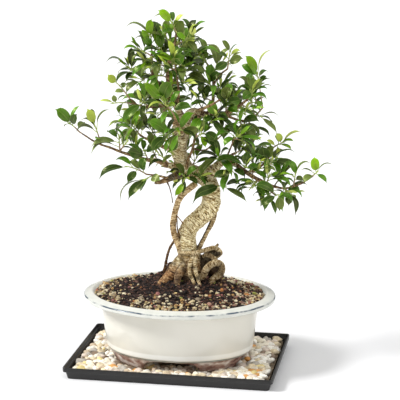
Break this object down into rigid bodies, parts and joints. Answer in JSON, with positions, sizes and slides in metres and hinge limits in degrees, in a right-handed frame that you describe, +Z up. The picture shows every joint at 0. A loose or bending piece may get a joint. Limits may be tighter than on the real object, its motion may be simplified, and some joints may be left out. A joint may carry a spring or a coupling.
{
  "type": "ficus bonsai",
  "caption": "Ficus bonsai with an S-curved trunk and surface roots, in a lipped oval glazed pot on a pebble-filled humidity tray.",
  "frame": {"origin": "middle of the tray's underside, on the surface that the tray stands on", "axes": "+Z up along the trunk; +X along the pot's and tray's long side, to the right as seen from the tree's front; -Y towards the viewer at the tree's front"},
  "size_m": [0.3467, 0.2189, 0.4671],
  "materials": {
    "tray_plastic": "matte, black",
    "river_pebbles": "smooth, water-worn, mixed cream, white, tan and grey",
    "pot_glaze": "glossy cream-white glaze, unglazed brown feet",
    "bark_soil": "rough, crumbly, with mixed grit",
    "bark": "rough tan bark with fine ridges",
    "leaf": "satin green, from dark old leaves to bright young ones",
    "screen_mesh": "matte, black",
    "clip_wire": "dull anodised wire"
  },
  "bodies": {
    "root": {"drain_screen_left": "screen_mesh", "drain_screen_right": "screen_mesh", "pebbles": "river_pebbles", "pot": "pot_glaze", "screen_clip_left": "clip_wire", "screen_clip_right": "clip_wire", "soil": "bark_soil", "spray_back_left": "leaf", "spray_back_low_right": "leaf", "spray_back_middle": "leaf", "spray_back_right": "leaf", "spray_back_upper": "leaf", "spray_crown_front": "leaf", "spray_crown_left": "leaf", "spray_crown_left_low": "leaf", "spray_crown_right": "leaf", "spray_crown_top": "leaf", "spray_far_left_tip": "leaf", "spray_far_left_upright": "leaf", "spray_far_right_tip": "leaf", "spray_far_right_upper": "leaf", "spray_far_right_upright": "leaf", "spray_front_left_low": "leaf", "spray_front_middle": "leaf", "spray_front_middle_low": "leaf", "spray_front_right_bright": "leaf", "spray_left_big_dark": "leaf", "spray_left_drooping": "leaf", "spray_left_hanging": "leaf", "spray_left_low_long": "leaf", "spray_left_low_round": "leaf", "spray_left_middle": "leaf", "spray_left_small_lower": "leaf", "spray_left_small_upper": "leaf", "spray_lower_right_arch": "leaf", "spray_lower_right_dark": "leaf", "spray_lower_right_droop": "leaf", "spray_lower_right_hang": "leaf", "spray_lower_right_inner": "leaf", "spray_lower_right_long": "leaf", "spray_lower_right_under": "leaf", "spray_middle_hanging": "leaf", "spray_middle_low": "leaf", "spray_right_back_olive": "leaf", "spray_right_cluster": "leaf", "spray_right_dark_round": "leaf", "spray_right_end_olive": "leaf", "spray_right_hanging_dark": "leaf", "spray_right_lime": "leaf", "spray_right_low_dark": "leaf", "spray_right_middle_dark": "leaf", "spray_right_middle_olive": "leaf", "spray_right_top": "leaf", "spray_right_up_arching": "leaf", "spray_top_middle": "leaf", "spray_trunk_front": "leaf", "spray_trunk_low_front": "leaf", "spray_upper_left": "leaf", "tray": "tray_plastic", "tree": "bark"}
  },
  "joints": []
}
